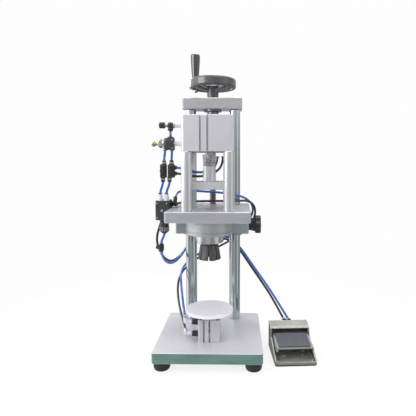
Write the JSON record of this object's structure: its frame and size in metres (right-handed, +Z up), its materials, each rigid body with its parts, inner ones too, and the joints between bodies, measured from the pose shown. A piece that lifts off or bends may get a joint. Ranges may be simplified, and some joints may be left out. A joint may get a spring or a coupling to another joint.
{
  "type": "pneumatic capping machine",
  "caption": "Bench-top air-driven capping machine: square base, round posts, handwheel-set head with a collet, lifting bottle platform and a foot pedal on air tubes.",
  "frame": {"origin": "on the floor under the middle of the square base plate", "axes": "+Z up, -Y to the machine's front, +X to the side where the foot pedal lies"},
  "size_m": [0.3926, 0.2822, 0.7643],
  "materials": {
    "anodised_plate": "satin anodised, fine even grain",
    "ground_aluminium": "milled and satin",
    "chrome_shaft": "ground and hard chromed",
    "steel_turned": "turned, light oil",
    "steel_dark": "blackened steel, worn at the lips",
    "screw_black": "black oxide",
    "bronze": "turned bronze",
    "brass_plug": "turned brass, thin nickel",
    "black_moulding": "glossy moulded thermoset",
    "black_nylon": "fine moulded grain",
    "white_moulding": "smooth moulded",
    "rubber_black": "matt rubber",
    "pad_rubber": "ribbed matt rubber",
    "cast_pedal": "grey-beige die cast, fine orange peel",
    "tube_blue": "semi-gloss polyurethane",
    "tube_black": "semi-gloss polyurethane",
    "platform_white": "light grey anodised"
  },
  "bodies": {
    "frame": {"base_plate": "anodised_plate", "rubber_feet": "rubber_black", "post_left": "chrome_shaft", "post_right": "chrome_shaft", "frame_screws": "screw_black", "top_plate": "anodised_plate", "screw_bearing": "bronze", "lift_barrel": "ground_aluminium", "lift_fittings": "black_nylon", "pedal_housing": "cast_pedal", "pedal_pin": "steel_turned", "pedal_fittings": "black_nylon", "pedal_tube_blue": "tube_blue", "pedal_tube_black": "tube_black", "lift_tube_blue": "tube_blue", "lift_tube_black": "tube_black"},
    "screw": {"lead_screw": "steel_turned", "handwheel": "black_moulding", "wheel_fasteners": "steel_turned"},
    "wheel_handle": {"handle_grip": "black_moulding"},
    "head": {"mid_plate": "anodised_plate", "slide_block": "anodised_plate", "slide_bushes": "bronze", "lead_nut": "bronze", "standoffs_front": "ground_aluminium", "standoffs_rear": "ground_aluminium", "head_barrel": "ground_aluminium", "rod_cover": "ground_aluminium", "head_screws": "screw_black", "flange_housing": "steel_turned", "jaw_carrier": "steel_turned", "port_fittings": "black_nylon", "inlet_block": "black_nylon", "quick_plug": "brass_plug", "flow_controls": "black_nylon", "valve_body": "black_nylon", "valve_fittings": "white_moulding", "coupling_nut": "black_nylon", "inline_fitting": "black_nylon", "head_tubes": "tube_blue"},
    "knob": {"clamp_knob": "black_moulding"},
    "crimp": {"head_piston": "ground_aluminium", "head_rod": "chrome_shaft", "rod_coupling": "steel_turned", "drive_shaft": "steel_turned", "yoke_plate": "ground_aluminium", "push_rods": "chrome_shaft", "closing_sleeve": "steel_turned"},
    "lift": {"lift_rod": "chrome_shaft", "platform": "platform_white"},
    "pedal": {"pedal_treadle": "steel_turned", "pedal_pad": "pad_rubber"},
    "jaw_1": {"jaw_1": "steel_dark"},
    "jaw_2": {"jaw_2": "steel_dark"},
    "jaw_3": {"jaw_3": "steel_dark"},
    "jaw_4": {"jaw_4": "steel_dark"},
    "jaw_5": {"jaw_5": "steel_dark"},
    "jaw_6": {"jaw_6": "steel_dark"},
    "jaw_7": {"jaw_7": "steel_dark"},
    "jaw_8": {"jaw_8": "steel_dark"}
  },
  "joints": [
    {"name": "handwheel_turn", "type": "hinge", "parent": "frame", "child": "screw", "pos_m": [0, 0.09, 0.684], "axis": [0, 0, 1], "range_deg": [-6786, 5436]},
    {"name": "handle_spin", "type": "hinge", "parent": "screw", "child": "wheel_handle", "pos_m": [-0.04922, 0.11454, 0.73], "axis": [0, 0, 1], "continuous": true},
    {"name": "head_lift", "type": "slide", "parent": "frame", "child": "head", "axis": [0, 0, 1], "range_m": [-0.075, 0.06], "deforming": ["pedal_tube_blue", "pedal_tube_black", "lift_tube_blue", "lift_tube_black"]},
    {"name": "clamp_turn", "type": "hinge", "parent": "head", "child": "knob", "pos_m": [0.12, 0.09, 0.304], "axis": [1, 0, 0], "range_deg": [-180, 540]},
    {"name": "crimp_stroke", "type": "slide", "parent": "head", "child": "crimp", "axis": [0, 0, -1], "range_m": [0, 0.018]},
    {"name": "platform_lift", "type": "slide", "parent": "frame", "child": "lift", "axis": [0, 0, 1], "range_m": [0, 0.025]},
    {"name": "pedal_press", "type": "hinge", "parent": "frame", "child": "pedal", "pos_m": [0.19728, 0.00686, 0.042], "axis": [0.9977, 0.0675, 0], "range_deg": [0, 10], "stiffness_Nm_per_rad": 6, "springref_deg": -6.88},
    {"name": "jaw_1_close", "type": "hinge", "parent": "head", "child": "jaw_1", "pos_m": [0.00498, -0.05401, 0.2835], "axis": [0.9239, 0.3827, 0], "range_deg": [0, 5]},
    {"name": "jaw_2_close", "type": "hinge", "parent": "head", "child": "jaw_2", "pos_m": [0.01201, -0.04698, 0.2835], "axis": [0.3827, 0.9239, 0], "range_deg": [0, 5]},
    {"name": "jaw_3_close", "type": "hinge", "parent": "head", "child": "jaw_3", "pos_m": [0.01201, -0.03703, 0.2835], "axis": [-0.3827, 0.9239, 0], "range_deg": [0, 5]},
    {"name": "jaw_4_close", "type": "hinge", "parent": "head", "child": "jaw_4", "pos_m": [0.00498, -0.02999, 0.2835], "axis": [-0.9239, 0.3827, 0], "range_deg": [0, 5]},
    {"name": "jaw_5_close", "type": "hinge", "parent": "head", "child": "jaw_5", "pos_m": [-0.00498, -0.02999, 0.2835], "axis": [-0.9239, -0.3827, 0], "range_deg": [0, 5]},
    {"name": "jaw_6_close", "type": "hinge", "parent": "head", "child": "jaw_6", "pos_m": [-0.01201, -0.03703, 0.2835], "axis": [-0.3827, -0.9239, 0], "range_deg": [0, 5]},
    {"name": "jaw_7_close", "type": "hinge", "parent": "head", "child": "jaw_7", "pos_m": [-0.01201, -0.04698, 0.2835], "axis": [0.3827, -0.9239, 0], "range_deg": [0, 5]},
    {"name": "jaw_8_close", "type": "hinge", "parent": "head", "child": "jaw_8", "pos_m": [-0.00498, -0.05401, 0.2835], "axis": [0.9239, -0.3827, 0], "range_deg": [0, 5]}
  ],
  "couplings": [
    {"joint": "handwheel_turn", "follows": "head_lift", "rad_per_m": 1570.8},
    {"joint": "jaw_1_close", "follows": "crimp_stroke", "rad_per_m": 4.8},
    {"joint": "jaw_2_close", "follows": "crimp_stroke", "rad_per_m": 4.8},
    {"joint": "jaw_3_close", "follows": "crimp_stroke", "rad_per_m": 4.8},
    {"joint": "jaw_4_close", "follows": "crimp_stroke", "rad_per_m": 4.8},
    {"joint": "jaw_5_close", "follows": "crimp_stroke", "rad_per_m": 4.8},
    {"joint": "jaw_6_close", "follows": "crimp_stroke", "rad_per_m": 4.8},
    {"joint": "jaw_7_close", "follows": "crimp_stroke", "rad_per_m": 4.8},
    {"joint": "jaw_8_close", "follows": "crimp_stroke", "rad_per_m": 4.8}
  ]
}
